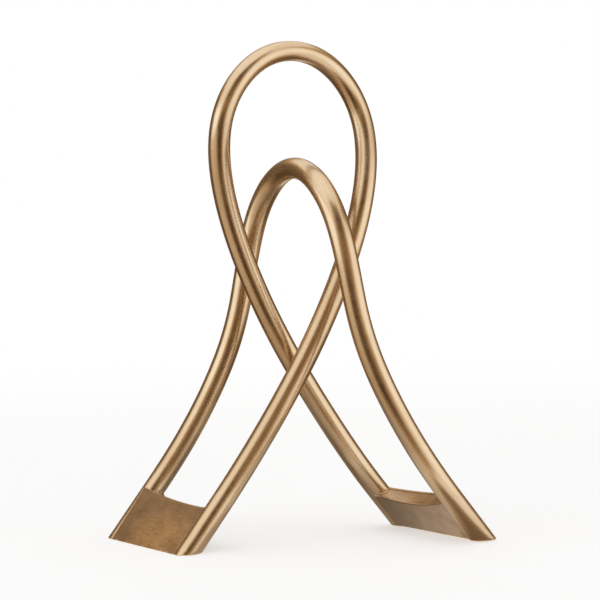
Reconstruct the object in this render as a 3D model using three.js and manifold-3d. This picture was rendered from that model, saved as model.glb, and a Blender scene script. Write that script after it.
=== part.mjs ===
// Loop sculpture: a tall looped tube and a lower arched tube, standing on two boxed sheet metal feet.
//
// Millimetres, +Z up. The origin is on the surface that the sculpture stands on, midway between its
// feet. +X runs from the left foot to the right foot, and the front faces -Y.
// Half a turn about Z brings the sculpture back onto itself, so its right half is described here and
// the left half is that half turned.

import * as THREE from 'three';
import { mergeVertices } from 'three/addons/utils/BufferGeometryUtils.js';
import Module from 'manifold-3d';

// Tube stock
const TUBE_DIAMETER = 16;
const TUBE_WALL = 1.5;

// Where the tubes stand
const FOOT_REACH = 107;      // from the middle of the sculpture to the middle of a foot
const LEG_SPACING = 89.5;    // between the two tubes of a foot, centre to centre
const FOOT_TURN = 26.5;      // degrees that a foot is turned about Z, so that its legs lean across the middle
const LEG_SLOPE = 48.5;      // degrees from the floor up to a leg
const LEG_STRAIGHT = 45;     // unbent length of a leg, measured along it from the floor

// The big loop, to the centre line of its tube
const LOOP_HEIGHT = 353.5;
const LOOP_REACH = 55;       // half the width of its eye
const LOOP_LEAN = 19;        // how far its shoulders swing out of the middle plane
const LOOP_BENDS = [         // from the top down to the leg that stands in the right foot
  { across: -0.6, back: -0.79, up: 0.96 },
  { across: -1, back: -1, up: 0.835 },
  { across: -0.873, back: 0.105, up: 0.641 },
  { across: -0.364, back: 0.563, up: 0.41 },
  { across: 0.32, back: 0.984, up: 0.198 },
];

// The small arch, to the centre line of its tube
const ARCH_HEIGHT = 269.4;
const ARCH_LEAN = 58;        // how far its sides swing out of the middle plane
const ARCH_BENDS = [         // from the top down to the leg that stands in the right foot
  { across: 0.204, back: -0.81, up: 0.854 },
  { across: 0.337, back: -0.94, up: 0.57 },
  { across: 0.508, back: -0.99, up: 0.348 },
  { across: 0.738, back: -1, up: 0.162 },
];

// Boxed feet, sizes measured up along the legs and out from the plane of the tube centres
const SHEET = 1.5;           // sheet metal thickness
const OUTER_PLATE_INSET = 0.4;  // how far the outer plate lies back from the tubes' outer side
const INNER_PLATE_INSET = 2.4;  // how far the inner plate lies back from the tubes' inner side
const OUTER_PLATE_HEIGHTS = { atLoop: 34.2, middle: 35.3, atArch: 39.3 };  // its top edge is ground hollow
const INNER_PLATE_HEIGHTS = { atLoop: 38.6, middle: 36.1, atArch: 43.5 };
const TOP_STRIP_DROP = 0.9;  // how far the top strip lies below the plates' edges
const BASE_THICKNESS = 2;

// Weld seams are left open by this much, between any two pieces
const SEAM = 0.3;

// Facets
const TUBE_SIDES = 20;
const BORE_SIDES = 10;
const LOOP_STEPS = 88;
const ARCH_STEPS = 70;
const EDGE_STEPS = 12;

// Points closer than this are one point
const MERGE_DISTANCE = 1e-5;

// Worked out from the sizes above
const tubeRadius = TUBE_DIAMETER / 2;
const boreRadius = tubeRadius - TUBE_WALL;
const floorOverrun = TUBE_DIAMETER * 2;
const turn = THREE.MathUtils.degToRad(FOOT_TURN);
const slope = THREE.MathUtils.degToRad(LEG_SLOPE);

// Axes of the right foot: along from the loop's tube to the arch's tube, up the legs, and outwards
const footAlong = new THREE.Vector3(Math.sin(turn), -Math.cos(turn), 0);
const footUp = new THREE.Vector3(
  -Math.cos(turn) * Math.cos(slope),
  -Math.sin(turn) * Math.cos(slope),
  Math.sin(slope),
);
const footOut = new THREE.Vector3().crossVectors(footUp, footAlong);

const footMiddle = new THREE.Vector3(FOOT_REACH, 0, 0);
const loopFoot = footMiddle.clone().addScaledVector(footAlong, -LEG_SPACING / 2);
const archFoot = footMiddle.clone().addScaledVector(footAlong, LEG_SPACING / 2);

const wasm = await Module();
wasm.setup();

// A closed geometry as a solid that can be cut
function toSolid(geometry) {
  const bare = geometry.clone();
  bare.deleteAttribute('normal');
  bare.deleteAttribute('uv');
  const merged = mergeVertices(bare, MERGE_DISTANCE);
  return new wasm.Manifold(new wasm.Mesh({
    numProp: 3,
    vertProperties: new Float32Array(merged.attributes.position.array),
    triVerts: new Uint32Array(merged.index.array),
  }));
}

function toGeometry(solid) {
  const mesh = solid.getMesh();
  const geometry = new THREE.BufferGeometry();
  geometry.setAttribute('position', new THREE.BufferAttribute(mesh.vertProperties, 3));
  geometry.setIndex(new THREE.BufferAttribute(mesh.triVerts, 1));
  geometry.computeVertexNormals();
  return geometry;
}

// Half a turn about Z, from the right half of the sculpture to its left half
function turned(point) {
  return new THREE.Vector3(-point.x, -point.y, point.z);
}

// The directions in which a curve passes each of its points, such that its bend changes smoothly
function smoothDirections(points, first, last) {
  const directions = points.map(() => new THREE.Vector3());
  directions[0].copy(first);
  directions[points.length - 1].copy(last);
  const sweeps = 60;
  for (let sweep = 0; sweep < sweeps; sweep += 1) {
    for (let i = 1; i < points.length - 1; i += 1) {
      directions[i]
        .subVectors(points[i + 1], points[i - 1])
        .multiplyScalar(3)
        .sub(directions[i - 1])
        .sub(directions[i + 1])
        .divideScalar(4);
    }
  }
  return directions;
}

// The bends of one half, from the top to the straight leg
function bendPoints(bends, top, reach, lean, legTop) {
  const rise = top - legTop.z;
  return bends.map(({ across, back, up }) => new THREE.Vector3(
    across * reach,
    back * lean,
    legTop.z + up * rise,
  ));
}

// The centre line of a tube, from below the floor at the left foot to below it at the right foot
function centreLine(bends, top, reach, lean, foot) {
  const legTop = foot.clone().addScaledVector(footUp, LEG_STRAIGHT);
  const rightHalf = [...bendPoints(bends, top, reach, lean, legTop), legTop];
  const leftHalf = rightHalf.map(turned).reverse();
  const points = [...leftHalf, new THREE.Vector3(0, 0, top), ...rightHalf];

  const lastChord = legTop.distanceTo(rightHalf[rightHalf.length - 2]);
  const down = footUp.clone().multiplyScalar(-lastChord);
  const directions = smoothDirections(points, turned(down).negate(), down);

  const belowFloor = foot.clone().addScaledVector(footUp, -floorOverrun);
  const path = new THREE.CurvePath();
  path.add(new THREE.LineCurve3(turned(belowFloor), turned(legTop)));
  for (let i = 0; i < points.length - 1; i += 1) {
    path.add(new THREE.CubicBezierCurve3(
      points[i],
      points[i].clone().addScaledVector(directions[i], 1 / 3),
      points[i + 1].clone().addScaledVector(directions[i + 1], -1 / 3),
      points[i + 1],
    ));
  }
  path.add(new THREE.LineCurve3(legTop, belowFloor));
  return path;
}

function circlePoints(radius, sides) {
  const points = [];
  for (let i = 0; i < sides; i += 1) {
    const angle = (i / sides) * 2 * Math.PI;
    points.push(new THREE.Vector2(radius * Math.cos(angle), radius * Math.sin(angle)));
  }
  return points;
}

// A round bar along a centre line, hollow where it has a bore
function barAlong(path, steps, radius, bore = 0) {
  const section = new THREE.Shape(circlePoints(radius, TUBE_SIDES));
  if (bore > 0) {
    section.holes.push(new THREE.Path(circlePoints(bore, BORE_SIDES)));
  }
  return toSolid(new THREE.ExtrudeGeometry(section, {
    steps,
    extrudePath: path,
    bevelEnabled: false,
  }));
}

// All the space below the floor, for cutting the tubes and plates off flush with it
function belowFloorBlock() {
  const span = 4 * (FOOT_REACH + LEG_SPACING);
  const block = new THREE.BoxGeometry(span, span, span);
  block.translate(0, 0, -span / 2);
  return toSolid(block);
}

const loopPath = centreLine(LOOP_BENDS, LOOP_HEIGHT, LOOP_REACH, LOOP_LEAN, loopFoot);
const archLegReach = archFoot.x + LEG_STRAIGHT * footUp.x;
const archPath = centreLine(ARCH_BENDS, ARCH_HEIGHT, archLegReach, ARCH_LEAN, archFoot);

const floorBlock = belowFloorBlock();
const loopSpace = barAlong(loopPath, LOOP_STEPS, tubeRadius + SEAM);
const archSpace = barAlong(archPath, ARCH_STEPS, tubeRadius + SEAM);

function tube(path, steps) {
  return barAlong(path, steps, tubeRadius, boreRadius).subtract(floorBlock);
}

// Distance up the legs at which a height above the floor is met, at a distance out from the tube plane
function upTo(height, out) {
  return (height - out * footOut.z) / footUp.z;
}

// Moves a piece drawn with x outwards, y up the legs and z along the right foot to its place,
// and leaves it clear of the tubes and the floor
function fitToFoot(geometry) {
  const place = new THREE.Matrix4().makeBasis(footOut, footUp, footAlong).setPosition(loopFoot);
  geometry.applyMatrix4(place);
  return toSolid(geometry).subtract(loopSpace).subtract(archSpace).subtract(floorBlock);
}

// Height up the legs of a plate's top edge: a smooth curve through its three heights
function edgeHeight(heights, along) {
  const share = (along - tubeRadius) / (LEG_SPACING - 2 * tubeRadius);
  const lean = (heights.atArch - heights.atLoop) / 2;
  const hollow = (heights.atArch + heights.atLoop) / 2 - heights.middle;
  const fromMiddle = 2 * share - 1;
  return heights.middle + lean * fromMiddle + hollow * fromMiddle ** 2;
}

// Places along the foot from tube centre to tube centre
function placesAlong() {
  const places = [];
  for (let i = 0; i <= EDGE_STEPS; i += 1) {
    places.push((i / EDGE_STEPS) * LEG_SPACING);
  }
  return places;
}

// A plate with a hollow top edge, whose outer side lies at the given distance out from the tube plane
function plate(heights, outside) {
  const outline = new THREE.Shape();
  outline.moveTo(0, -floorOverrun);
  outline.lineTo(LEG_SPACING, -floorOverrun);
  for (const along of placesAlong().reverse()) {
    outline.lineTo(along, edgeHeight(heights, along));
  }
  const geometry = new THREE.ExtrudeGeometry(outline, { depth: SHEET, bevelEnabled: false });
  // From across the foot, up and towards the viewer to outwards, up and along
  geometry.rotateY(-Math.PI / 2);
  geometry.translate(outside, 0, 0);
  return fitToFoot(geometry);
}

// A strip that lies across the box; cornersAt gives its four corners as [out, up] at a place along the foot
function strip(cornersAt) {
  const places = placesAlong();
  const sides = 4;
  const points = [];
  for (const along of places) {
    for (const [out, up] of cornersAt(along)) {
      points.push(out, up, along);
    }
  }
  const triangles = [];
  for (let i = 0; i < places.length - 1; i += 1) {
    for (let side = 0; side < sides; side += 1) {
      const here = i * sides + side;
      const beside = i * sides + ((side + 1) % sides);
      triangles.push(here, beside, beside + sides);
      triangles.push(here, beside + sides, here + sides);
    }
  }
  const last = (places.length - 1) * sides;
  triangles.push(0, 2, 1, 0, 3, 2);
  triangles.push(last, last + 1, last + 2, last, last + 2, last + 3);

  const geometry = new THREE.BufferGeometry();
  geometry.setAttribute('position', new THREE.Float32BufferAttribute(points, 3));
  geometry.setIndex(triangles);
  return fitToFoot(geometry);
}

const outerPlateOutside = tubeRadius - OUTER_PLATE_INSET;
const innerPlateInside = -tubeRadius + INNER_PLATE_INSET;
const boxOuterWall = outerPlateOutside - SHEET - SEAM;
const boxInnerWall = innerPlateInside + SHEET + SEAM;

function outerPlate() {
  return plate(OUTER_PLATE_HEIGHTS, outerPlateOutside);
}

function innerPlate() {
  return plate(INNER_PLATE_HEIGHTS, innerPlateInside + SHEET);
}

// The top strip follows the plates' edges, just below them
function topStrip() {
  return strip((along) => {
    const outerTop = edgeHeight(OUTER_PLATE_HEIGHTS, along) - TOP_STRIP_DROP;
    const innerTop = edgeHeight(INNER_PLATE_HEIGHTS, along) - TOP_STRIP_DROP;
    return [
      [boxInnerWall, innerTop - SHEET],
      [boxOuterWall, outerTop - SHEET],
      [boxOuterWall, outerTop],
      [boxInnerWall, innerTop],
    ];
  });
}

// The base plate lies flat on the floor between the two plates
function basePlate() {
  return strip(() => [
    [boxInnerWall, upTo(0, boxInnerWall)],
    [boxOuterWall, upTo(0, boxOuterWall)],
    [boxOuterWall, upTo(BASE_THICKNESS, boxOuterWall)],
    [boxInnerWall, upTo(BASE_THICKNESS, boxInnerWall)],
  ]);
}

// Finishes
function satinGold() {
  return new THREE.MeshStandardMaterial({ color: 0xb48c5c, roughness: 0.34, metalness: 1 });
}

function brushedGold() {
  return new THREE.MeshStandardMaterial({ color: 0xa5825a, roughness: 0.42, metalness: 1 });
}

function namedMesh(name, solid, material) {
  const mesh = new THREE.Mesh(toGeometry(solid), material);
  mesh.name = name;
  return mesh;
}

const sculpture = new THREE.Group();
sculpture.add(namedMesh('big_loop_tube', tube(loopPath, LOOP_STEPS), satinGold()));
sculpture.add(namedMesh('small_arch_tube', tube(archPath, ARCH_STEPS), satinGold()));

const footPieces = [
  ['outer_plate', outerPlate()],
  ['inner_plate', innerPlate()],
  ['top_strip', topStrip()],
  ['base_plate', basePlate()],
];
for (const [side, angle] of [['right', 0], ['left', Math.PI]]) {
  const foot = new THREE.Group();
  foot.rotation.z = angle;
  for (const [name, solid] of footPieces) {
    foot.add(namedMesh(`${side}_${name}`, solid, brushedGold()));
  }
  sculpture.add(foot);
}

export default sculpture;
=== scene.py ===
"""Loop sculpture: two bent tubes in satin antique gold, standing on two boxed sheet metal feet.

Metres, +Z up, front towards -Y. Half a turn about Z brings the sculpture back onto itself.
"""

import math

import bpy
import numpy as np
from mathutils import Matrix, Vector


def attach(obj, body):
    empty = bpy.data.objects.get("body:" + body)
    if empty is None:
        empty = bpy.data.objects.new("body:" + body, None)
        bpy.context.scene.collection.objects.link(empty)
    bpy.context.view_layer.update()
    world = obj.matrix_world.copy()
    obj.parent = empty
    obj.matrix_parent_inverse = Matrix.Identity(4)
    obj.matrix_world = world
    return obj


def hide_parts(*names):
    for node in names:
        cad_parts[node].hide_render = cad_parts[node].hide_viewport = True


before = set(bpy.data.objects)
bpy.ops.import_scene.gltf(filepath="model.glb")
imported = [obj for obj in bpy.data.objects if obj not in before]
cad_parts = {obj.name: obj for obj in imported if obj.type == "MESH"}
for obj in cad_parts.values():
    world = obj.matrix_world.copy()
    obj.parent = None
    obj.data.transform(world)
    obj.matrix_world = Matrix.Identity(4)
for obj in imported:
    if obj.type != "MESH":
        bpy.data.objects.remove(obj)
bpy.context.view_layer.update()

MM = 0.001

# Tube stock
TUBE_DIAMETER = 16 * MM
TUBE_WALL = 1.5 * MM

# Where the tubes stand
FOOT_REACH = 107 * MM
LEG_SPACING = 89.5 * MM
FOOT_TURN = math.radians(26.5)
LEG_SLOPE = math.radians(48.5)
LEG_STRAIGHT = 45 * MM

# The two tubes, to their centre lines: bends from the top down, as shares of reach, lean and rise
LOOP = {
    "top": 353.5 * MM,
    "reach": 55 * MM,
    "lean": 19 * MM,
    "bends": [
        (-0.6, -0.79, 0.96),
        (-1, -1, 0.835),
        (-0.873, 0.105, 0.641),
        (-0.364, 0.563, 0.41),
        (0.32, 0.984, 0.198),
    ],
}
ARCH = {
    "top": 269.4 * MM,
    "lean": 58 * MM,
    "bends": [
        (0.204, -0.81, 0.854),
        (0.337, -0.94, 0.57),
        (0.508, -0.99, 0.348),
        (0.738, -1, 0.162),
    ],
}

# How much bending flattened each tube: (share of the way from top to foot, width in the front view)
LOOP_WIDTHS = [(0, 0.89), (0.12, 0.94), (0.25, 0.988), (0.4, 0.996), (0.6, 1), (1, 1)]
ARCH_WIDTHS = [(0, 0.945), (0.12, 1.03), (0.25, 1.03), (0.4, 1), (0.6, 1.005), (1, 1)]

# Boxed feet: heights up the legs, distances out from the plane of the tube centres
SHEET = 1.5 * MM
OUTER_FACE = 7.6 * MM
OUTER_LIFT = 0.42 * MM       # how far the outer plate rises over the arch's leg, at its far corner
INNER_FACE = -5.6 * MM
OUTER_EDGE = {"at_loop": 34.0 * MM, "middle": 35.2 * MM, "at_arch": 39.2 * MM}
INNER_EDGE = {"at_loop": 38.6 * MM, "middle": 36.1 * MM, "at_arch": 43.5 * MM}
OUTER_CURL = {"height": 1.6 * MM, "reach": 7 * MM}  # of the outer plate's edge at the loop's leg
OUTER_START = 1 * MM         # where the outer plate begins, measured along the foot
CAP_DROP = {"outer": 0.35 * MM, "inner": 0.9 * MM}
CAP_INSET = 0.6 * SHEET      # how far the cap's sides lie behind the plates' faces
CAP_START = 5 * MM
BASE_THICKNESS = 2 * MM
BASE_START = 7 * MM
EDGE_ROUND = 0.35 * MM
CORNER_CUT = 0.3             # how deep a rounded corner is cut, as a share of its round
RIM_ROUND = 0.6 * MM
RIM_PROFILE = [(0, 1), (0.2, 0.3), (0.8, 0)]     # (inwards, upwards) as shares of the rim's round

# Welds
FILLET_START = 3.5 * MM      # where the ground weld leaves the loop's tube, measured along the foot
TIGHT_FILLET_START = 5.2 * MM     # and where it leaves the arch's tube
WELD_RISE = 1.1 * MM         # how far the cap climbs to the tubes
WELD_WIDTH = 3 * MM
BURR_PLACES = [12 * MM, 17.5 * MM, 44 * MM, 61 * MM, 66 * MM, 79 * MM]
BURR_LENGTH = 1.5 * MM
BURR_HEIGHT = 0.45 * MM
BURR_RADIUS = 0.55 * MM

# Wear, painted highlight and painted shade, as the tone of a point: 1 is worn bright with a painted
# highlight, -1 is painted shade
ROUND_WEAR_AND_HIGHLIGHT = [0.8, 1, 0.8]                                # of the three points round a corner
NEAR_EDGE_WEAR_AND_HIGHLIGHT = [(0.4 * MM, 0.55), (1.2 * MM, 0.12)]     # (distance from the corner, tone)
# the welds and burrs are painted bright: ground metal with a painted highlight
WELD_WEAR_AND_HIGHLIGHT = 0.85
# painted shade in the crease where the inner plate's upper edge meets the cap
SHADED_EDGE = {"depth": 1.3 * MM, "tone": -0.9}           # along the inner plate's upper edge
# width of the painted shade along the cap's inner side, beside the inner plate
CAP_SHADE_WIDTH = 1.8 * MM

# Mesh fineness
TUBE_SIDES = 56
RING_SPACING = 2.4 * MM
BORE_RING_STEP = 4
LEG_RINGS = 6
SHEET_COLUMNS = 56
FACE_ROWS = 22
BACK_ROWS = 2
BASE_ROWS = 6
CAP_ROWS = 9
BEAD_SIDES = 10

tube_radius = TUBE_DIAMETER / 2
bore_radius = tube_radius - TUBE_WALL
half_turn = np.array([-1.0, -1.0, 1.0])

# Axes of the right foot: along from the loop's tube to the arch's tube, up the legs, and outwards
foot_along = np.array([math.sin(FOOT_TURN), -math.cos(FOOT_TURN), 0])
foot_up = np.array([
    -math.cos(FOOT_TURN) * math.cos(LEG_SLOPE),
    -math.sin(FOOT_TURN) * math.cos(LEG_SLOPE),
    math.sin(LEG_SLOPE),
])
foot_out = np.cross(foot_up, foot_along)
foot_middle = np.array([FOOT_REACH, 0, 0])
loop_foot = foot_middle - foot_along * LEG_SPACING / 2
arch_foot = foot_middle + foot_along * LEG_SPACING / 2
ARCH["reach"] = arch_foot[0] + LEG_STRAIGHT * foot_up[0]


# Mesh helpers

def mesh_piece(name, points, faces, material, uv=None, tone=None):
    """A smooth-shaded mesh object; uv and tone hold a value for each point."""
    mesh = bpy.data.meshes.new(name)
    mesh.from_pydata([tuple(p) for p in points], [], faces)
    mesh.update()
    mesh.shade_smooth()
    corners = np.zeros(len(mesh.loops), int)
    mesh.loops.foreach_get("vertex_index", corners)
    if uv is not None:
        layer = mesh.uv_layers.new(name="UVMap")
        layer.data.foreach_set("uv", np.asarray(uv, float)[corners].ravel())
    values = np.zeros(len(points)) if tone is None else np.asarray(tone, float)
    attribute = mesh.attributes.new("tone", "FLOAT", "POINT")
    attribute.data.foreach_set("value", values)
    piece = bpy.data.objects.new(name, mesh)
    bpy.context.scene.collection.objects.link(piece)
    mesh.materials.append(material)
    return piece


def grid_faces(rings, sides):
    """Quads between rings of points, each ring closed on itself."""
    faces = []
    for ring in range(rings - 1):
        for side in range(sides):
            a = ring * sides + side
            b = ring * sides + (side + 1) % sides
            faces.append((a, b, b + sides, a + sides))
    return faces


def unit(vectors):
    return vectors / np.linalg.norm(vectors, axis=-1, keepdims=True)


def to_sculpture(points, side):
    """From points beside the right foot to the named side."""
    return points * half_turn if side == "left" else points


def place(piece, material_slot, *nodes):
    """Hands a finished piece to the frame."""
    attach(piece, "root")
    if nodes:
        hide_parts(*nodes)


# Tubes

def smooth_directions(points, first, last):
    """The directions in which a curve passes each point, such that its bend changes smoothly."""
    directions = np.zeros_like(points)
    directions[0] = first
    directions[-1] = last
    sweeps = 60
    for _ in range(sweeps):
        for i in range(1, len(points) - 1):
            chord = points[i + 1] - points[i - 1]
            directions[i] = (3 * chord - directions[i - 1] - directions[i + 1]) / 4
    return directions


def curve_between(p, q, p_direction, q_direction, count):
    """Points on the cubic from p to q, without q itself."""
    t = np.linspace(0, 1, count, endpoint=False)[:, None]
    bezier_p = p + p_direction / 3
    bezier_q = q - q_direction / 3
    u = 1 - t
    return u**3 * p + 3 * u**2 * t * bezier_p + 3 * u * t**2 * bezier_q + t**3 * q


def bend_points(tube, leg_top):
    rise = tube["top"] - leg_top[2]
    return [
        np.array([across * tube["reach"], back * tube["lean"], leg_top[2] + up * rise])
        for across, back, up in tube["bends"]
    ]


def centre_line(tube, foot):
    """Evenly spaced points from one foot to the other."""
    leg_top = foot + foot_up * LEG_STRAIGHT
    right_half = bend_points(tube, leg_top) + [leg_top]
    left_half = [point * half_turn for point in reversed(right_half)]
    points = np.array(left_half + [np.array([0, 0, tube["top"]])] + right_half)
    down = -foot_up * np.linalg.norm(leg_top - right_half[-2])
    directions = smooth_directions(points, -down * half_turn, down)
    fine = 80
    stretches = [
        curve_between(points[i], points[i + 1], directions[i], directions[i + 1], fine)
        for i in range(len(points) - 1)
    ]
    line = np.vstack([[foot * half_turn], *stretches, [leg_top], [foot]])
    distance = np.r_[0, np.cumsum(np.linalg.norm(np.diff(line, axis=0), axis=1))]
    count = round(distance[-1] / RING_SPACING) + 1
    even = np.linspace(0, distance[-1], count)
    return np.column_stack([np.interp(even, distance, line[:, k]) for k in range(3)])


def ring_axes(line):
    """Two axes across the tube at each point: one in the front view's plane, one in depth."""
    tangents = unit(np.gradient(line, axis=0))
    flat = unit(np.cross(tangents, np.array([0, 1, 0])))
    deep = np.cross(tangents, flat)
    return flat, deep


def spokes_at(line, angles, end):
    """Unit directions across the tube at one of its ends, 0 or -1."""
    flat, deep = ring_axes(line)
    return unit(np.cos(angles)[:, None] * flat[end] + np.sin(angles)[:, None] * deep[end])


def cut_end(foot, spokes, rise, radii_and_heights):
    """Rings along the straight leg, level with the floor, each given by its radius and height."""
    rings = []
    for radius, height in radii_and_heights:
        ring = foot + radius * spokes
        ring = ring + ((height - ring[:, 2]) / rise[2])[:, None] * rise
        rings.append(ring)
    return rings


def tube_rings(line, widths, radius, angles):
    """The rings of a bent tube, flattened a little where the bends are tight."""
    flat, deep = ring_axes(line)
    share = np.abs(np.linspace(-1, 1, len(line)))
    width = np.interp(share, [w[0] for w in widths], [w[1] for w in widths])
    depth = 1 + (1 - width) / 2
    rings = []
    for i, centre in enumerate(line):
        across = width[i] * np.cos(angles)[:, None] * flat[i]
        along_depth = depth[i] * np.sin(angles)[:, None] * deep[i]
        rings.append(centre + radius * (across + along_depth))
    return rings


def blend_rings(first, last, count):
    """Rings between two others, both left out."""
    return [first + (last - first) * k / count for k in range(1, count)]


def wall_rings(line, widths, radius, angles, rim, step):
    """One wall of a tube: the left foot's rim, the bent part and the right foot's rim."""
    rings = tube_rings(line, widths, radius, angles)
    clear = math.ceil(TUBE_DIAMETER / RING_SPACING)
    middle = rings[clear:len(rings) - clear:step]
    left_rims = cut_end(line[0], spokes_at(line, angles, 0), foot_up * half_turn, rim)
    right_rims = cut_end(line[-1], spokes_at(line, angles, -1), foot_up, rim)
    return [
        *left_rims[::-1],
        *blend_rings(left_rims[0], middle[0], LEG_RINGS),
        *middle,
        *blend_rings(middle[-1], right_rims[0], LEG_RINGS),
        *right_rims,
    ]


def bent_tube(name, tube, foot, widths, material):
    """A hollow tube whose ends are cut level with the floor, with worn rims."""
    line = centre_line(tube, foot)
    angles = np.linspace(0, 2 * math.pi, TUBE_SIDES, endpoint=False)
    outer_rim = [
        (tube_radius - inwards * RIM_ROUND, upwards * RIM_ROUND)
        for inwards, upwards in RIM_PROFILE
    ]
    outside = wall_rings(line, widths, tube_radius, angles, outer_rim, 1)
    inside = wall_rings(line, widths, bore_radius, angles, [(bore_radius, 0)], BORE_RING_STEP)
    rings = [*outside, *inside[::-1], outside[0]]
    points = np.vstack(rings[:-1])
    loop_of_rings = len(rings) - 1
    faces = grid_faces(loop_of_rings, TUBE_SIDES)
    last = (loop_of_rings - 1) * TUBE_SIDES
    for side in range(TUBE_SIDES):
        after = (side + 1) % TUBE_SIDES
        faces.append((last + side, last + after, after, side))
    centres = np.array([ring.mean(axis=0) for ring in rings[:-1]])
    travelled = np.r_[0, np.cumsum(np.linalg.norm(np.diff(centres, axis=0), axis=1))]
    uv = np.column_stack([
        np.repeat(travelled, TUBE_SIDES),
        np.tile(angles * tube_radius, loop_of_rings),
    ])
    return mesh_piece(name, points, faces, material, uv)


# Feet

def up_to(height, out):
    """Distance up the legs at which a height is met, at a distance out from the tube plane."""
    return (height - out * foot_out[2]) / foot_up[2]


def foot_point(s, h, d):
    """A point beside the right foot: s along it, h up the legs, d outwards."""
    s, h, d = np.broadcast_arrays(s, h, d)
    return (
        loop_foot
        + s[..., None] * foot_along
        + h[..., None] * foot_up
        + d[..., None] * foot_out
    )


def edge_height(heights, s):
    """Height of a plate's top edge: a smooth curve through its three heights."""
    from_middle = 2 * (s - tube_radius) / (LEG_SPACING - 2 * tube_radius) - 1
    lean = (heights["at_arch"] - heights["at_loop"]) / 2
    hollow = (heights["at_arch"] + heights["at_loop"]) / 2 - heights["middle"]
    return heights["middle"] + lean * from_middle + hollow * from_middle**2


def outer_edge(s):
    """The outer plate's top edge climbs towards the arch's leg, and curls up at the loop's."""
    curl = OUTER_CURL["height"] * np.clip(1 - s / OUTER_CURL["reach"], 0, None) ** 2
    return edge_height(OUTER_EDGE, s) + curl


def inner_edge(s):
    """The inner plate's top edge is hollow between the two welds."""
    return edge_height(INNER_EDGE, s)


def outer_face(s, h):
    """How far out the outer plate's face lies: it is a little proud at its upper far corner."""
    lift = OUTER_LIFT * np.clip(s / LEG_SPACING, 0, 1) * np.clip(h / outer_edge(s), 0, 1)
    return OUTER_FACE + lift


def corner_spots(corner, before, after, size):
    """Three points that round a corner."""
    to_before = (before - corner) / np.linalg.norm(before - corner)
    to_after = (after - corner) / np.linalg.norm(after - corner)
    return [
        corner + size * to_before,
        corner + CORNER_CUT * size * (to_before + to_after),
        corner + size * to_after,
    ]


def side_spots(start, end, rows):
    """Points between two rounded corners, closer together near them, and how worn bright they are,
    with a painted highlight near the corners.
    """
    length = np.linalg.norm(end - start)
    near = np.array([distance for distance, _ in NEAR_EDGE_WEAR_AND_HIGHLIGHT])
    worn_and_highlit = [tone for _, tone in NEAR_EDGE_WEAR_AND_HIGHLIGHT]
    if rows == 0 or length < 4 * near[-1]:
        return [], []
    inside = np.linspace(2 * near[-1], length - 2 * near[-1], rows)
    places = np.r_[near, inside, length - near[::-1]]
    point_tones = np.r_[worn_and_highlit, np.zeros(rows), worn_and_highlit[::-1]]
    return [start + (end - start) * place / length for place in places], list(point_tones)


def rounded_ring(corners, rows):
    """A closed outline in (h, d) with rounded corners, worn bright and given a painted highlight,
    and rows points on each side.
    """
    spots = []
    point_tones = []
    rounds = [
        corner_spots(corners[i], corners[i - 1], corners[(i + 1) % len(corners)], EDGE_ROUND)
        for i in range(len(corners))
    ]
    for i, three in enumerate(rounds):
        following = rounds[(i + 1) % len(rounds)]
        between, between_tones = side_spots(three[2], following[0], rows[i])
        spots += three + between
        point_tones += ROUND_WEAR_AND_HIGHLIGHT + between_tones
    return np.array(spots), np.array(point_tones)


def sheet_piece(name, side, columns, ring_at, material):
    """A closed sheet: ring_at gives its outline in (h, d), and the tones, at a place along it."""
    points = []
    point_tones = []
    uv = []
    for s in columns:
        outline, outline_tones = ring_at(s)
        points.append(foot_point(s, outline[:, 0], outline[:, 1]))
        point_tones.append(outline_tones)
        uv.append(np.column_stack([np.full(len(outline), s), outline[:, 0] + outline[:, 1]]))
    sides = len(points[0])
    faces = grid_faces(len(points), sides)
    faces.append(tuple(range(sides))[::-1])
    last = (len(points) - 1) * sides
    faces.append(tuple(range(last, last + sides)))
    placed = to_sculpture(np.vstack(points), side)
    return mesh_piece(name, placed, faces, material, np.vstack(uv), np.concatenate(point_tones))


def outer_sheet(side, material):
    """The plate across the outer side, laid over the edge of the arch's leg."""
    def ring_at(s):
        top = outer_edge(s)
        front_top = outer_face(s, top)
        front_low = OUTER_FACE
        back = front_low - SHEET
        corners = np.array([
            [up_to(0, front_low), front_low],
            [top, front_top],
            [top, back],
            [up_to(0, back), back],
        ])
        return rounded_ring(corners, [FACE_ROWS, 0, BACK_ROWS, 0])
    columns = np.linspace(OUTER_START, LEG_SPACING, SHEET_COLUMNS)
    return sheet_piece(f"{side}_outer_sheet", side, columns, ring_at, material)


def fillet_curve(start, count):
    """A ground weld between a tube and the inner plate, as (s, d) from the tube to the plate."""
    tube_d = -math.sqrt(tube_radius**2 - start**2)
    slope = start / -tube_d
    corner = np.array([start + (INNER_FACE - tube_d) / slope, INNER_FACE])
    first = np.array([start, tube_d])
    last = corner + np.array([np.linalg.norm(corner - first), 0])
    t = np.linspace(0, 1, count)[:, None]
    return (1 - t) ** 2 * first + 2 * t * (1 - t) * corner + t**2 * last


def inner_profile():
    """The inner plate's face across the foot, as (s, d), with its weld at each tube."""
    count = 9
    near_loop = fillet_curve(FILLET_START, count)
    near_arch = fillet_curve(TIGHT_FILLET_START, count)[::-1]
    near_arch[:, 0] = LEG_SPACING - near_arch[:, 0]
    middle = np.linspace(near_loop[-1, 0], near_arch[0, 0], SHEET_COLUMNS)[1:-1]
    plate = np.column_stack([middle, np.full(len(middle), INNER_FACE)])
    return np.vstack([near_loop, plate, near_arch])


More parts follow.
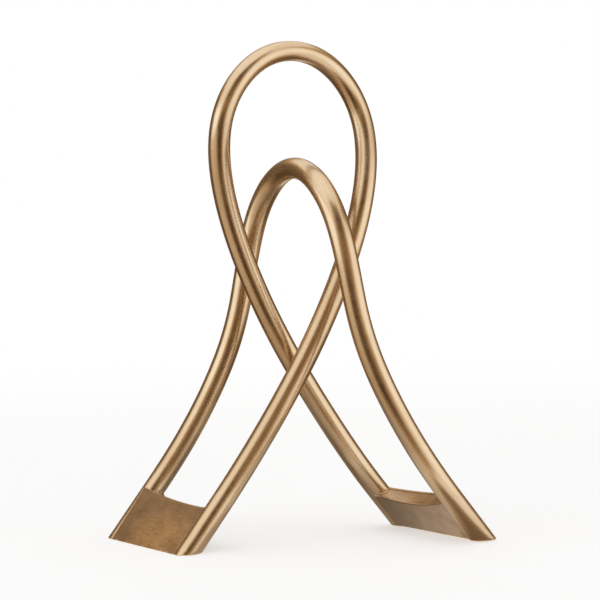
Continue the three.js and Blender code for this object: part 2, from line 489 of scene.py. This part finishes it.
def inner_sheet(side, material):
    """The plate across the inner side, set back between the tubes."""
    profile = inner_profile()
    depth = dict(zip(profile[:, 0], profile[:, 1]))

    def ring_at(s):
        front = depth[s]
        back = INNER_FACE + SHEET
        corners = np.array([
            [up_to(0, front), front],
            [up_to(0, back), back],
            [inner_edge(s), back],
            [inner_edge(s), front],
        ])
        outline, tone = rounded_ring(corners, [0, BACK_ROWS, 0, FACE_ROWS])
        # painted shade along the plate's upper edge, in the crease beside the cap
        at_edge = outline[:, 0] > inner_edge(s) - SHADED_EDGE["depth"]
        on_face = outline[:, 1] < front + EDGE_ROUND
        return outline, np.where(at_edge & on_face, SHADED_EDGE["tone"], tone)
    return sheet_piece(f"{side}_inner_sheet", side, profile[:, 0], ring_at, material)


def cap_height(s, d):
    """The cap follows the two plates' edges, just below them, and rises into the welds."""
    inside = INNER_FACE + SHEET
    outside = OUTER_FACE - SHEET
    share = (d - inside) / (outside - inside)
    level = inner_edge(s) + (outer_edge(s) - inner_edge(s)) * share
    drop = CAP_DROP["inner"] + (CAP_DROP["outer"] - CAP_DROP["inner"]) * share
    to_tube = np.minimum(s, LEG_SPACING - s) - tube_radius
    steepest = 1.2
    weld = WELD_RISE * np.clip(1 - to_tube / WELD_WIDTH, 0, steepest) ** 2
    return level - drop + weld * np.clip(1 - share, 0, 1)


def cap(side, material):
    """The strip that closes the top of the foot."""
    def ring_at(s):
        inside = INNER_FACE + CAP_INSET
        outside = OUTER_FACE - CAP_INSET
        across = np.linspace(outside, inside, CAP_ROWS)
        top = np.column_stack([cap_height(s, across), across])
        below = top[::-1] - np.array([SHEET, 0])
        outline = np.vstack([top, below])
        # painted shade along the cap's inner side, in the crease beside the inner plate
        painted_shade = -np.clip(1 - np.abs(outline[:, 1] - inside) / CAP_SHADE_WIDTH, 0, 1)
        return outline, painted_shade
    columns = np.linspace(CAP_START, LEG_SPACING - CAP_START, SHEET_COLUMNS)
    return sheet_piece(f"{side}_cap", side, columns, ring_at, material)


def base(side, material):
    """The plate that closes the foot, flat on the floor."""
    def ring_at(s):
        inside = INNER_FACE + SHEET
        outside = OUTER_FACE - SHEET
        corners = np.array([
            [up_to(0, inside), inside],
            [up_to(0, outside), outside],
            [up_to(BASE_THICKNESS, outside), outside],
            [up_to(BASE_THICKNESS, inside), inside],
        ])
        return rounded_ring(corners, [BASE_ROWS, 0, BASE_ROWS, 0])
    columns = np.linspace(BASE_START, LEG_SPACING - BASE_START, SHEET_COLUMNS)
    return sheet_piece(f"{side}_base", side, columns, ring_at, material)


# Welds

def bead(path, radius, phase):
    """A weld bead along a path: rings of points that ripple and close at both ends."""
    tangents = unit(np.gradient(path, axis=0))
    across = unit(np.cross(tangents, foot_out))
    over = np.cross(tangents, across)
    angles = np.linspace(0, 2 * math.pi, BEAD_SIDES, endpoint=False)
    count = len(path)
    place_along = np.linspace(0, 1, count)
    quick_ripple = 0.18 * np.sin(place_along * count * 0.9 + phase)
    slow_ripple = 0.12 * np.sin(place_along * count * 0.37 + 2 * phase)
    taper = np.sqrt(np.clip(1 - (2 * place_along - 1) ** 8, 0.01, 1))
    size = radius * (1 + quick_ripple + slow_ripple) * taper
    rings = [
        centre + size[i] * (
            np.cos(angles)[:, None] * across[i] + np.sin(angles)[:, None] * over[i]
        )
        for i, centre in enumerate(path)
    ]
    faces = grid_faces(count, BEAD_SIDES)
    faces.append(tuple(range(BEAD_SIDES))[::-1])
    faces.append(tuple(range((count - 1) * BEAD_SIDES, count * BEAD_SIDES)))
    return np.vstack(rings), faces


def outer_weld_path():
    """Where the outer plate meets the arch's leg, from the top down."""
    top = outer_edge(LEG_SPACING) - 0.5 * MM
    bottom = up_to(0, OUTER_FACE) + 0.6 * MM
    h = np.linspace(top, bottom, num=70)
    d = outer_face(LEG_SPACING, h)
    reach = np.sqrt(np.clip(tube_radius**2 - d**2, 0, None))
    beside_tube = 0.1 * MM
    return foot_point(LEG_SPACING - reach - beside_tube, h, d)


def cap_weld_path(at_arch):
    """Round the side of a leg, where the cap meets it."""
    inner_end = INNER_FACE + 0.4 * MM
    outer_end = 3.6 * MM
    d = np.linspace(inner_end, outer_end, num=34)
    beside_tube = 0.2 * MM
    over_cap = 0.1 * MM
    reach = np.sqrt(tube_radius**2 - d**2) + beside_tube
    s = LEG_SPACING - reach if at_arch else reach
    return foot_point(s, cap_height(s, d) + over_cap, d)


def corner_weld_path(at_arch):
    """At the inner plate's upper corner, where its edge runs into a leg."""
    start = TIGHT_FILLET_START if at_arch else FILLET_START
    onto_tube = 0.8 * MM
    along_plate = 4.2 * MM
    over_plate = 1.4 * MM
    sunk = 0.5 * MM
    s = np.linspace(start - onto_tube, start + along_plate, num=16)
    placed = LEG_SPACING - s if at_arch else s
    on_tube = -np.sqrt(np.clip(tube_radius**2 - s**2, 0, None))
    d = np.maximum(on_tube, INNER_FACE - over_plate)
    return foot_point(placed, inner_edge(placed), d + sunk)


def burr_paths():
    """Small burrs that grinding left on the outer plate's lower edge."""
    paths = []
    for start in BURR_PLACES:
        s = start + np.linspace(0, BURR_LENGTH, num=5)
        paths.append(foot_point(s, up_to(BURR_HEIGHT, OUTER_FACE), OUTER_FACE))
    return paths


def welds(side, material):
    """All the beads and burrs of one foot, as one piece; each bead has its path and its radius."""
    beads = [
        (outer_weld_path(), 0.38 * MM),
        (cap_weld_path(False), 0.7 * MM),
        (cap_weld_path(True), 0.6 * MM),
        (corner_weld_path(False), 0.85 * MM),
        (corner_weld_path(True), 0.5 * MM),
    ]
    beads += [(path, BURR_RADIUS) for path in burr_paths()]
    points = []
    faces = []
    total = 0
    for number, (path, radius) in enumerate(beads):
        bead_points, bead_faces = bead(path, radius, number)
        faces += [tuple(index + total for index in face) for face in bead_faces]
        points.append(bead_points)
        total += len(bead_points)
    placed = to_sculpture(np.vstack(points), side)
    placed[:, 2] = np.maximum(placed[:, 2], 0)
    # every bead and burr gets the bright tone: ground metal with a painted highlight
    return mesh_piece(f"{side}_welds", placed, faces, material, tone=np.full(total, WELD_WEAR_AND_HIGHLIGHT))


# Materials

GOLD = (0.765, 0.573, 0.372, 1)
GOLD_DEEP = (0.70, 0.505, 0.308, 1)
# worn metal, also the colour of the painted highlight along the sheets' edges and on the welds
GOLD_WORN_AND_HIGHLIGHT = (0.80, 0.60, 0.38, 1)
BRONZE = (0.65, 0.455, 0.27, 1)
BRONZE_DEEP = (0.50, 0.335, 0.195, 1)
BRONZE_POLISHED = (0.94, 0.62, 0.31, 1)
# a lighter copy of the sheet finish for the inner plates: painted light
TAN = (0.70, 0.53, 0.37, 1)
# the painted shade on the inner plates beside the loop's leg
BRONZE_SHADED = (0.40, 0.30, 0.215, 1)
# dark brown for the soot spots, also the colour of the painted shade in the creases
SOOT_AND_SHADE = (0.25, 0.15, 0.075, 1)

# where the painted shade beside the loop's leg is full and where it is gone
SHADED_END = {"full": 16 * MM, "gone": 44 * MM}     # along the foot
SCUFFS = {"full": 0.5 * MM, "gone": 12 * MM}      # above the floor
PATCH_MIDDLE = (34 * MM, 8 * MM)                  # along the foot, and above the floor
PATCH_REACH = (44 * MM, 17 * MM)

# The mix node's sockets for colours, which share their names with its sockets for numbers
MIX_FIRST = 6
MIX_SECOND = 7
MIX_RESULT = 2


class Nodes:
    """A short way to add and join the nodes of one node tree."""

    def __init__(self, tree):
        self.tree = tree

    def add(self, kind, inputs=None, **settings):
        node = self.tree.nodes.new(kind)
        for key, value in settings.items():
            setattr(node, key, value)
        for key, value in (inputs or {}).items():
            self.set(node.inputs[key], value)
        return node

    def set(self, socket, value):
        """Gives a socket a constant, or links another node's output to it."""
        if isinstance(value, bpy.types.NodeSocket):
            self.tree.links.new(value, socket)
        else:
            socket.default_value = value

    def math(self, operation, a, b, clamp=False):
        node = self.add("ShaderNodeMath", operation=operation, use_clamp=clamp)
        self.set(node.inputs[0], a)
        self.set(node.inputs[1], b)
        return node.outputs[0]

    def noise(self, vector, scale, detail=3, roughness=0.5):
        inputs = {"Vector": vector, "Scale": scale, "Detail": detail, "Roughness": roughness}
        return self.add("ShaderNodeTexNoise", inputs).outputs["Fac"]

    def spread(self, value, low, high, to_low=0.0, to_high=1.0):
        """Maps low to to_low and high to to_high, and goes no further beyond them."""
        inputs = {
            "Value": value,
            "From Min": low,
            "From Max": high,
            "To Min": to_low,
            "To Max": to_high,
        }
        return self.add("ShaderNodeMapRange", inputs).outputs["Result"]

    def mix(self, factor, first, second):
        node = self.add("ShaderNodeMix", data_type="RGBA")
        self.set(node.inputs["Factor"], factor)
        self.set(node.inputs[MIX_FIRST], first)
        self.set(node.inputs[MIX_SECOND], second)
        return node.outputs[MIX_RESULT]


def new_metal(name):
    """An empty metal material: its nodes and its shader."""
    material = bpy.data.materials.new(name)
    material.use_nodes = True
    nodes = Nodes(material.node_tree)
    shader = material.node_tree.nodes["Principled BSDF"]
    shader.inputs["Metallic"].default_value = 1.0
    return material, nodes, shader


def stretched(nodes, vector, scales):
    return nodes.add("ShaderNodeMapping", {"Vector": vector, "Scale": scales}).outputs["Vector"]


def satin_gold():
    """Tube finish: satin gold lacquer, finely grained and cloudy, scuffed at the floor."""
    material, nodes, shader = new_metal("satin_gold")
    place_in = nodes.add("ShaderNodeTexCoord").outputs["Object"]
    grain = nodes.noise(place_in, scale=1100, detail=4, roughness=0.6)
    clouds = nodes.noise(place_in, scale=38)
    patches = nodes.noise(place_in, scale=130, detail=4, roughness=0.6)
    tone = nodes.spread(nodes.math("ADD", clouds, patches), 0.75, 1.25)
    colour = nodes.mix(tone, GOLD_DEEP, GOLD)
    height = nodes.add("ShaderNodeSeparateXYZ", {"Vector": place_in}).outputs["Z"]
    near_floor = nodes.spread(height, SCUFFS["gone"], SCUFFS["full"])
    strokes = stretched(nodes, place_in, (900, 300, 500))
    scratches = nodes.noise(strokes, scale=1, roughness=0.7)
    scuffs = nodes.math("MULTIPLY", near_floor, nodes.spread(scratches, 0.52, 0.66), clamp=True)
    colour = nodes.mix(scuffs, colour, GOLD_WORN_AND_HIGHLIGHT)
    nodes.set(shader.inputs["Base Color"], colour)
    rough = nodes.math(
        "ADD",
        nodes.spread(grain, 0.3, 0.7, -0.025, 0.025),
        nodes.spread(patches, 0.3, 0.7, 0.23, 0.285),
    )
    nodes.set(shader.inputs["Roughness"], rough)
    bump = nodes.add("ShaderNodeBump", {"Height": grain, "Strength": 1.0, "Distance": 0.005 * MM})
    nodes.set(shader.inputs["Normal"], bump.outputs["Normal"])
    return material


def polished_patch(nodes, along, height):
    """1 in the middle of a plate, where it was rubbed most, falling to 0 towards its edges."""
    squares = []
    for place_in, middle, reach in zip((along, height), PATCH_MIDDLE, PATCH_REACH):
        share = nodes.math("DIVIDE", nodes.math("SUBTRACT", place_in, middle), reach)
        squares.append(nodes.math("MULTIPLY", share, share))
    return nodes.spread(nodes.math("ADD", *squares), 1.0, 0.15)


def brushed_gold(name, tint, brushed, polished, end_shade):
    """Sheet finish: the same gold, browner, brushed along the foot, worn bright at its edges with a
    painted highlight there, and with painted shade in its creases and beside the loop's leg.

    The three numbers, from 0 to 1, give how strongly the brushing, the rubbed middle and the
    painted shade on the plate beside the loop's leg show.
    """
    material, nodes, shader = new_metal(name)
    place_in = nodes.add("ShaderNodeTexCoord").outputs["Object"]
    height = nodes.add("ShaderNodeSeparateXYZ", {"Vector": place_in}).outputs["Z"]
    uv = nodes.add("ShaderNodeUVMap", uv_map="UVMap").outputs["UV"]
    along = nodes.add("ShaderNodeSeparateXYZ", {"Vector": uv}).outputs["X"]
    brushing = nodes.noise(stretched(nodes, uv, (70, 1300, 1)), scale=1, detail=4, roughness=0.65)
    scratches = nodes.noise(stretched(nodes, uv, (700, 60, 1)), scale=1, detail=2)
    clouds = nodes.noise(place_in, scale=90, detail=4, roughness=0.6)
    grain = nodes.noise(place_in, scale=1200, roughness=0.6)
    spots = nodes.noise(place_in, scale=420, detail=5, roughness=0.7)
    breaks = nodes.noise(place_in, scale=500, roughness=0.6)

    mean = 0.6
    reach = 0.75 * brushed
    strokes = nodes.spread(brushing, 0.0, 1.0, mean - reach, mean + reach)
    mixed = nodes.math("ADD", clouds, strokes)
    colour = nodes.mix(nodes.spread(mixed, 0.85, 1.35), BRONZE_DEEP, tint)
    rubbed = polished_patch(nodes, along, height)
    patch = nodes.math("MULTIPLY", rubbed, nodes.spread(mixed, 0.7, 1.3))
    colour = nodes.mix(nodes.math("MULTIPLY", patch, polished), colour, BRONZE_POLISHED)
    # painted shade on the plate beside the loop's leg, fading out along the foot
    shaded_end = nodes.spread(along, SHADED_END["gone"], SHADED_END["full"], 0.0, end_shade)
    colour = nodes.mix(shaded_end, colour, BRONZE_SHADED)
    soot_strength = 0.4
    soot = nodes.math("MULTIPLY", nodes.spread(spots, 0.66, 0.78), soot_strength)
    colour = nodes.mix(soot, colour, SOOT_AND_SHADE)
    streak_strength = 0.35
    streaks = nodes.math("MULTIPLY", nodes.spread(scratches, 0.70, 0.78), streak_strength)
    colour = nodes.mix(streaks, colour, GOLD_WORN_AND_HIGHLIGHT)
    point_tones = nodes.add("ShaderNodeAttribute", attribute_name="tone").outputs["Fac"]
    # sheet edges worn bright, with a painted highlight on them
    worn_and_highlit = nodes.math("MULTIPLY", point_tones, nodes.spread(breaks, 0.35, 0.6, 0.15, 1.0), clamp=True)
    # painted shade where the tone is below 0, in the creases by the cap
    shade_amount = nodes.spread(point_tones, 0.0, -1.0)
    painted_shade = nodes.math("MULTIPLY", shade_amount, nodes.spread(clouds, 0.35, 0.6, 0.4, 0.8))
    colour = nodes.mix(painted_shade, colour, SOOT_AND_SHADE)
    nodes.set(shader.inputs["Base Color"], nodes.mix(worn_and_highlit, colour, GOLD_WORN_AND_HIGHLIGHT))

    smooth = nodes.spread(clouds, 0.3, 0.7, 0.3, 0.36)
    rough = nodes.math("ADD", smooth, nodes.spread(brushing, 0.3, 0.7, -0.03, 0.05))
    nodes.set(shader.inputs["Roughness"], rough)
    relief = nodes.math("ADD", brushing, nodes.math("MULTIPLY", grain, 0.5))
    bump = nodes.add("ShaderNodeBump", {"Height": relief, "Strength": 1.0, "Distance": 0.014 * MM})
    nodes.set(shader.inputs["Normal"], bump.outputs["Normal"])
    return material


# Object

def build_sculpture():
    gold = satin_gold()
    # one sheet finish in two copies: the darker one on the outer plates, caps, bases and welds is
    # painted shade, the lighter one on the inner plates is painted light
    bronze = brushed_gold("brushed_gold", BRONZE, brushed=1.0, polished=1.0, end_shade=0.0)
    tan = brushed_gold("brushed_tan", TAN, brushed=0.3, polished=0.0, end_shade=0.6)
    loop = bent_tube("big_loop", LOOP, loop_foot, LOOP_WIDTHS, gold)
    place(loop, "satin_gold_tube", "big_loop_tube")
    arch = bent_tube("small_arch", ARCH, arch_foot, ARCH_WIDTHS, gold)
    place(arch, "satin_gold_tube", "small_arch_tube")
    for side in ("left", "right"):
        place(outer_sheet(side, bronze), "brushed_gold_plate", f"{side}_outer_plate")
        place(inner_sheet(side, tan), "brushed_gold_plate", f"{side}_inner_plate")
        place(cap(side, bronze), "brushed_gold_plate", f"{side}_top_strip")
        place(base(side, bronze), "brushed_gold_plate", f"{side}_base_plate")
        place(welds(side, bronze), "brushed_gold_plate")


# Camera

CAMERA_PLACE = (-0.2434, -1.4260, 0.2515)
CAMERA_AZIMUTH = math.radians(-9.8)     # the lights' and cards' azimuths are counted from here
CAMERA_YAW = math.radians(-9.795)
CAMERA_PITCH = math.radians(3.066)
CAMERA_ROLL = math.radians(-0.965)
LENS_MM = 120
SENSOR_MM = 36


def make_camera():
    data = bpy.data.cameras.new("camera")
    data.lens = LENS_MM
    data.sensor_width = SENSOR_MM
    data.clip_end = 50
    camera = bpy.data.objects.new("camera", data)
    level = math.pi / 2
    aim = Matrix.Rotation(CAMERA_YAW, 4, "Z") @ Matrix.Rotation(level - CAMERA_PITCH, 4, "X")
    roll = Matrix.Rotation(CAMERA_ROLL, 4, "Z")
    camera.matrix_world = Matrix.Translation(CAMERA_PLACE) @ aim @ roll
    bpy.context.scene.collection.objects.link(camera)
    bpy.context.scene.camera = camera


# Stage

FLOOR_RADIUS = 2.2
FLOOR_SIDES = 96
FLOOR_COLOURS = ((0.82, 0.80, 0.78, 1), (0.85, 0.83, 0.81, 1))
FLOOR_FADE = (0.32, 1.7)     # distances over which the floor gives way to the white surround
FLOOR_LIFT = 0.47            # added where the floor is seen, so that only its shadow isn't white
AMBIENT = 0.55               # the surround's light on matt surfaces, where 1 is white


def seen_directly(nodes):
    """1 for camera, mirror and glass rays, 0 for the rays that light matt surfaces."""
    ray = nodes.add("ShaderNodeLightPath").outputs
    seen = nodes.math("ADD", ray["Is Camera Ray"], ray["Is Glossy Ray"])
    return nodes.math("ADD", seen, ray["Is Transmission Ray"], clamp=True)


def floor_material():
    """Plain pale floor that keeps the shadow and fades into the white surround."""
    material = bpy.data.materials.new("pale_floor")
    material.use_nodes = True
    nodes = Nodes(material.node_tree)
    shader = material.node_tree.nodes["Principled BSDF"]
    place_in = nodes.add("ShaderNodeTexCoord").outputs["Object"]
    speck = nodes.noise(place_in, scale=260)
    nodes.set(shader.inputs["Base Color"], nodes.mix(speck, *FLOOR_COLOURS))
    nodes.set(shader.inputs["Roughness"], 0.9)
    nodes.set(shader.inputs["Specular IOR Level"], 0.1)
    nodes.set(shader.inputs["Emission Color"], (1, 1, 1, 1))
    lift = nodes.math("MULTIPLY", seen_directly(nodes), FLOOR_LIFT)
    nodes.set(shader.inputs["Emission Strength"], lift)
    length = nodes.add("ShaderNodeVectorMath", {0: place_in}, operation="LENGTH")
    distance = length.outputs["Value"]
    fade = nodes.add(
        "ShaderNodeMapRange",
        {"Value": distance, "From Min": FLOOR_FADE[0], "From Max": FLOOR_FADE[1]},
        interpolation_type="SMOOTHERSTEP",
    ).outputs["Result"]
    clear = nodes.add("ShaderNodeBsdfTransparent").outputs["BSDF"]
    mixed = nodes.add("ShaderNodeMixShader", {"Fac": fade, 1: shader.outputs["BSDF"], 2: clear})
    output = material.node_tree.nodes["Material Output"]
    nodes.set(output.inputs["Surface"], mixed.outputs["Shader"])
    return material


def make_floor():
    angles = np.linspace(0, 2 * math.pi, FLOOR_SIDES, endpoint=False)
    circle = np.column_stack([np.cos(angles), np.sin(angles), np.zeros(FLOOR_SIDES)])
    whole = tuple(range(FLOOR_SIDES))
    floor = mesh_piece("floor", FLOOR_RADIUS * circle, [whole], floor_material())


def direction(azimuth, elevation):
    """A unit vector, by its degrees from the camera's side round to the right, and upwards."""
    a = math.radians(azimuth) + CAMERA_AZIMUTH
    e = math.radians(elevation)
    return Vector((math.sin(a) * math.cos(e), -math.cos(a) * math.cos(e), math.sin(e)))


MIDDLE = Vector((0, 0, 0.18))
SOFTBOX_DISTANCE = 2.4
SOFTBOX_COLOUR = (0.75, 1.0, 1.25)
CARD_LIFT = 0.5 * MM         # of the cards that lie on the floor
CARD_START = 0.15            # where the card below the sculpture ends and most others begin
CARD_DISTANCE = 2.6          # where the cards rise as a wall
CARD_STEPS = 6               # stretches between two marks of a card
GOLDEN_EDGE = (0.64, 0.45, 0.26)
DARK_CORE = (0.055, 0.033, 0.023)


def softbox(name, azimuth, elevation, width, height, power):
    """A rectangular lamp that faces the middle of the sculpture."""
    place_at = MIDDLE + SOFTBOX_DISTANCE * direction(azimuth, elevation)
    facing = (MIDDLE - place_at).to_track_quat("-Z", "Y").to_matrix().to_4x4()
    light = bpy.data.lights.new(name, "AREA")
    light.shape = "RECTANGLE"
    light.size = width
    light.size_y = height
    light.energy = power
    light.color = SOFTBOX_COLOUR
    lamp = bpy.data.objects.new(name, light)
    lamp.matrix_world = Matrix.Translation(place_at) @ facing
    bpy.context.scene.collection.objects.link(lamp)


def card_material(name, edge_colour, core_colour):
    """A plain glow that goes from one colour to the other with the tone of the card's points."""
    material = bpy.data.materials.new(name)
    material.use_nodes = True
    nodes = Nodes(material.node_tree)
    nodes.tree.nodes.clear()
    tone = nodes.add("ShaderNodeAttribute", attribute_name="tone").outputs["Fac"]
    colour = nodes.mix(tone, (*edge_colour, 1), (*core_colour, 1))
    glow = nodes.add("ShaderNodeEmission", {"Color": colour, "Strength": 1.0})
    output = nodes.add("ShaderNodeOutputMaterial")
    nodes.set(output.inputs["Surface"], glow.outputs["Emission"])
    return material


def filled(marks):
    """The marks, with evenly spaced ones between each two of them."""
    marks = np.array(marks, float)
    places = np.linspace(0, len(marks) - 1, (len(marks) - 1) * CARD_STEPS + 1)
    return np.column_stack([np.interp(places, range(len(marks)), column) for column in marks.T])


def card(name, across, upwards, edge_colour, core_colour):
    """A dim, glowing curved sweep of the studio that only the metal sees: a painted reflection that
    gives the metal its dark bands.

    across gives (azimuth, tone) and upwards (distance, height, tone, turn), where turn moves a
    row sideways, in degrees. Tone 0 is the edge's colour and tone 1 the core's.
    """
    columns = filled(across)
    rows = filled(upwards)
    points = []
    tone = []
    for distance, height, row_tone, turn in rows:
        for azimuth, column_tone in columns:
            level = direction(azimuth + turn, 0)
            points.append((distance * level.x, distance * level.y, height))
            tone.append(row_tone * column_tone)
    faces = []
    for row in range(len(rows) - 1):
        for column in range(len(columns) - 1):
            a = row * len(columns) + column
            faces.append((a, a + 1, a + 1 + len(columns), a + len(columns)))
    paint = card_material(name + "_paint", edge_colour, core_colour)
    panel = mesh_piece(name, points, faces, paint, tone=tone)
    panel.visible_camera = False
    panel.visible_shadow = False
    panel.visible_diffuse = False


def at_elevation(elevation):
    """Height on the cards' wall that is seen at an elevation from the middle of the sculpture."""
    return MIDDLE.z + CARD_DISTANCE * math.tan(math.radians(elevation))


def make_world():
    """White all round for the camera and for reflections, softer as ambient light."""
    world = bpy.data.worlds.new("studio")
    world.use_nodes = True
    nodes = Nodes(world.node_tree)
    background = world.node_tree.nodes["Background"]
    background.inputs["Color"].default_value = (1, 1, 1, 1)
    strength = nodes.spread(seen_directly(nodes), 0.0, 1.0, AMBIENT, 1.0)
    nodes.set(background.inputs["Strength"], strength)
    bpy.context.scene.world = world


def make_lights():
    softbox("left_softbox", azimuth=-68, elevation=4, width=2.2, height=1.6, power=4.8)
    softbox("right_softbox", azimuth=78, elevation=4, width=2.3, height=1.6, power=3.2)
    softbox("top_softbox", azimuth=-80, elevation=72, width=3.2, height=3.2, power=4.6)


def make_front_cards():
    """Painted reflection of the dim side on which the camera stands, with the floor before it."""
    across = [(-38, 0), (-26, 0.45), (-16, 1), (18, 1), (28, 0.5), (42, 0)]
    upwards = [
        (CARD_START, CARD_LIFT, 0.35, -8),
        (0.22, CARD_LIFT, 0.5, -4),
        (0.31, CARD_LIFT, 0.95, -4),
        (0.45, CARD_LIFT, 1, -2),
        (0.7, CARD_LIFT, 0.95, -8),
        (1.3, CARD_LIFT, 0.9, -12),
        (CARD_DISTANCE, CARD_LIFT, 0.9, -10),
    ]
    card("front_floor_card", across, upwards, GOLDEN_EDGE, DARK_CORE)
    across = [(-38, 0), (-26, 0.45), (-16, 1), (18, 1), (27, 0.5), (40, 0)]
    upwards = [
        (CARD_DISTANCE, CARD_LIFT, 0.9, -4),
        (CARD_DISTANCE, at_elevation(6), 0.5, 2),
        (CARD_DISTANCE, at_elevation(16), 0.65, 5),
        (CARD_DISTANCE, at_elevation(26), 0.85, 8),
        (CARD_DISTANCE, at_elevation(40), 1, 17),
        (CARD_DISTANCE, at_elevation(48), 0.85, 16),
        (CARD_DISTANCE, at_elevation(54), 0, 16),
    ]
    card("front_card", across, upwards, GOLDEN_EDGE, DARK_CORE)


def make_rear_cards():
    """Painted reflection of the dim sides behind the sculpture, on both hands."""
    across = [(-180, 0.4), (-168, 0.8), (-108, 1), (-94, 0)]
    upwards = [
        (CARD_START, CARD_LIFT, 0.8, 0),
        (0.3, CARD_LIFT, 1, 0),
        (1.2, CARD_LIFT, 0.9, 0),
        (CARD_DISTANCE, CARD_LIFT, 0.85, 0),
        (CARD_DISTANCE, at_elevation(22), 0.85, 0),
        (CARD_DISTANCE, at_elevation(32), 0.4, 0),
        (CARD_DISTANCE, at_elevation(40), 0, 0),
    ]
    card("rear_left_card", across, upwards, GOLDEN_EDGE, DARK_CORE)
    across = [(94, 0), (120, 0.9), (162, 0.9), (180, 0.4)]
    upwards = [
        (CARD_START, CARD_LIFT, 0.9, 0),
        (0.22, CARD_LIFT, 1, -6),
        (0.36, CARD_LIFT, 1, -14),
        (0.55, CARD_LIFT, 0.8, -4),
        (0.8, CARD_LIFT, 0.5, 4),
        (1.3, CARD_LIFT, 0.7, 4),
        (CARD_DISTANCE, CARD_LIFT, 0.9, 14),
        (CARD_DISTANCE, at_elevation(6), 0.9, 14),
        (CARD_DISTANCE, at_elevation(24), 1, 6),
        (CARD_DISTANCE, at_elevation(34), 0.5, -20),
        (CARD_DISTANCE, at_elevation(44), 0, -28),
    ]
    card("rear_right_card", across, upwards, GOLDEN_EDGE, DARK_CORE)


def make_floor_cards():
    """Painted reflection of the floor, seen only by the metal: dim below the sculpture, pale on the
    two bright sides.
    """
    shade = (0.46, 0.39, 0.32)
    deep_shade = (0.22, 0.18, 0.145)
    brown = (0.15, 0.092, 0.06)
    tan = (0.64, 0.54, 0.42)
    pale_tan = (0.86, 0.76, 0.62)
    pale = (0.92, 0.87, 0.80)
    across = [
        (-180, 1),
        (-110, 0.95),
        (-60, 0.7),
        (0, 0.62),
        (40, 0.3),
        (80, 0.5),
        (120, 0.8),
        (180, 1),
    ]
    upwards = [
        (0.005, CARD_LIFT, 1.2, 0),
        (0.05, CARD_LIFT, 1.1, 0),
        (0.1, CARD_LIFT, 1, 0),
        (CARD_START, CARD_LIFT, 0.8, 0),
    ]
    card("below_card", across, upwards, pale, deep_shade)
    upwards = [
        (CARD_START, CARD_LIFT, 1, 0),
        (0.3, CARD_LIFT, 0.8, 0),
        (0.6, CARD_LIFT, 0.3, 0),
        (1.4, CARD_LIFT, 0.2, 0),
    ]
    card("left_floor_card", [(-94, 1), (-38, 1)], upwards, pale_tan, shade)
    over_others = 2 * CARD_LIFT
    across = [(36, 0), (50, 0.9), (78, 1), (84, 0.5)]
    upwards = [
        (0.105, over_others, 0.3, 0),
        (0.125, over_others, 0.9, 0),
        (0.145, over_others, 0.8, 0),
        (0.17, over_others, 0, 0),
    ]
    card("right_floor_card", across, upwards, tan, brown)


bpy.context.scene.view_settings.view_transform = "Standard"
make_camera()
build_sculpture()
make_floor()
make_world()
make_lights()
make_front_cards()
make_rear_cards()
make_floor_cards()
bpy.context.view_layer.update()
